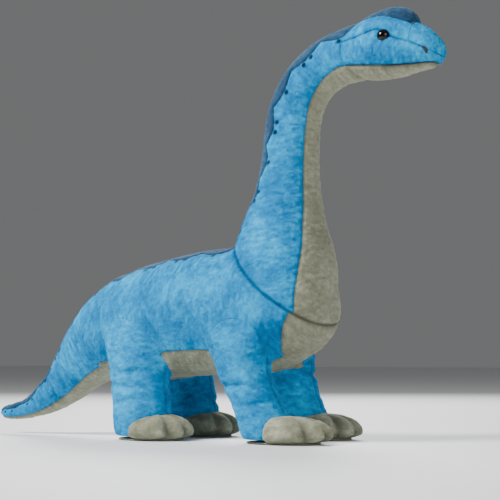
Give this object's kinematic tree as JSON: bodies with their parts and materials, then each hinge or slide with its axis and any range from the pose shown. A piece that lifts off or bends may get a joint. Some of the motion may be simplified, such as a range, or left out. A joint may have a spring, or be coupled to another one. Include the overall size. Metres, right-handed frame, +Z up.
{
  "type": "stuffed dinosaur",
  "caption": "Standing long-necked stuffed dinosaur with sewn plush panels, dorsal strip, toe caps, safety eyes, and a neck, head and tail that flex at their seams.",
  "frame": {"origin": "on the ground, in the middle of the toy's bounding box", "axes": "+X towards the head, +Y to the animal's left, +Z up"},
  "size_m": [0.5073, 0.1458, 0.4015],
  "materials": {
    "blue_plush": "short-pile cyan-blue plush with lighter and deeper patches",
    "grey_plush": "short-pile grey-beige plush",
    "navy_plush": "short-pile navy plush",
    "stuffing": "white polyester fibre",
    "eye_plastic": "black safety eye with a dark brown centre",
    "washer_plastic": "white locking washer",
    "embroidery": "dark satin-stitched thread"
  },
  "bodies": {
    "root": {"torso_stuffing": "stuffing", "front_right_leg_stuffing": "stuffing", "front_left_leg_stuffing": "stuffing", "hind_right_leg_stuffing": "stuffing", "hind_left_leg_stuffing": "stuffing", "flank_right": "blue_plush", "flank_left": "blue_plush", "front_right_leg_outer": "blue_plush", "front_right_leg_inner": "blue_plush", "front_left_leg_outer": "blue_plush", "front_left_leg_inner": "blue_plush", "hind_right_leg_outer": "blue_plush", "hind_right_leg_inner": "blue_plush", "hind_left_leg_outer": "blue_plush", "hind_left_leg_inner": "blue_plush", "belly_panel": "grey_plush", "front_right_toe_cap": "grey_plush", "front_left_toe_cap": "grey_plush", "hind_right_toe_cap": "grey_plush", "hind_left_toe_cap": "grey_plush", "front_right_sole": "grey_plush", "front_left_sole": "grey_plush", "hind_right_sole": "grey_plush", "hind_left_sole": "grey_plush", "back_strip": "navy_plush"},
    "neck": {"neck_stuffing": "stuffing", "neck_cover_right": "blue_plush", "neck_cover_left": "blue_plush", "throat_panel": "grey_plush", "neck_strip": "navy_plush"},
    "head": {"head_stuffing": "stuffing", "crown_right": "blue_plush", "crown_left": "blue_plush", "cheek_right": "blue_plush", "cheek_left": "blue_plush", "nose_panel": "blue_plush", "chin_panel": "grey_plush", "head_strip": "navy_plush", "crest": "navy_plush", "eye_right": "eye_plastic", "eye_left": "eye_plastic", "eye_washer_right": "washer_plastic", "eye_washer_left": "washer_plastic", "nostril_right": "embroidery", "nostril_left": "embroidery"},
    "tail": {"tail_stuffing": "stuffing", "tail_cover_right": "blue_plush", "tail_cover_left": "blue_plush", "tail_underside": "grey_plush", "tail_strip": "navy_plush"}
  },
  "joints": [
    {"name": "neck_bend", "type": "hinge", "parent": "root", "child": "neck", "pos_m": [0.11, 0, 0.196], "axis": [0, 1, 0], "range_deg": [-10, 12], "stiffness_Nm_per_rad": 4},
    {"name": "head_nod", "type": "hinge", "parent": "neck", "child": "head", "pos_m": [0.191, 0, 0.3615], "axis": [0, 1, 0], "range_deg": [-10, 10], "stiffness_Nm_per_rad": 1},
    {"name": "tail_sway", "type": "hinge", "parent": "root", "child": "tail", "pos_m": [-0.146, 0, 0.09], "axis": [0, 0, 1], "range_deg": [-15, 15], "stiffness_Nm_per_rad": 1}
  ]
}
